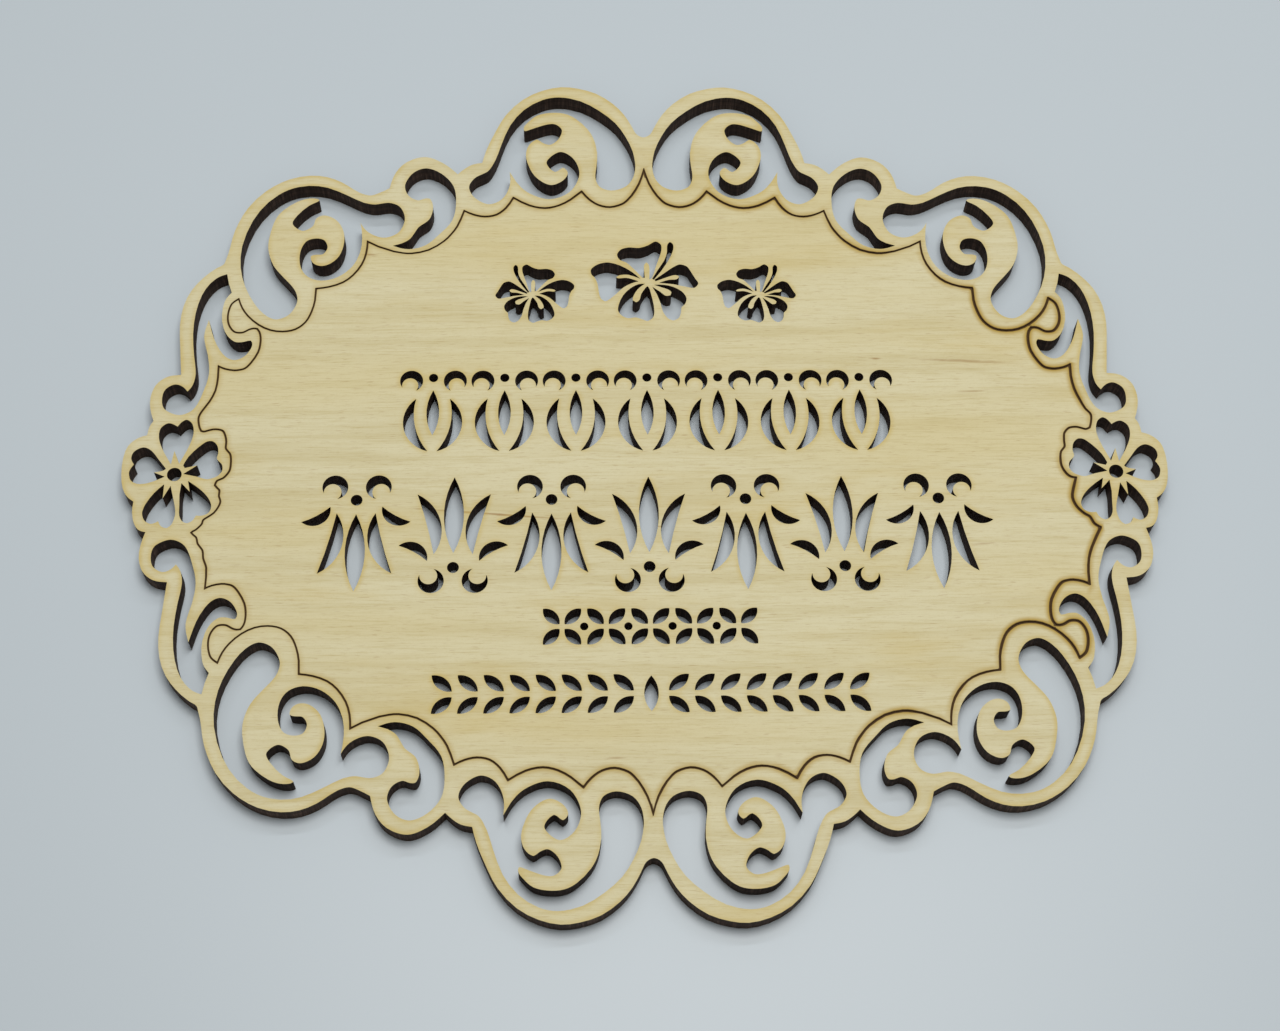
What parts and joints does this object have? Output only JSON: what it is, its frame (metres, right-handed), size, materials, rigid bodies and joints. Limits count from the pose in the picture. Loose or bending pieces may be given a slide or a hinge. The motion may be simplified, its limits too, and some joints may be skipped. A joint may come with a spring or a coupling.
{
  "type": "decorative wall plaque",
  "caption": "Flat oval wall plaque of laser-cut plywood with a pierced scroll border, flower medallions and rows of pierced ornament.",
  "frame": {"origin": "middle of the back face, half way across the width and the height", "axes": "+X along the width, +Y towards the top edge, +Z out of the decorated front face"},
  "size_m": [0.18, 0.156, 0.004],
  "materials": {
    "birch_front": "sanded, unfinished, charred at the cuts",
    "birch_core": "cross grain, charred at the cuts",
    "birch_back": "sanded, unfinished, charred at the cuts",
    "glue": "thin dark adhesive film"
  },
  "bodies": {
    "root": {"front_veneer": "birch_front", "upper_glue_line": "glue", "core_veneer": "birch_core", "lower_glue_line": "glue", "back_veneer": "birch_back"}
  },
  "joints": []
}
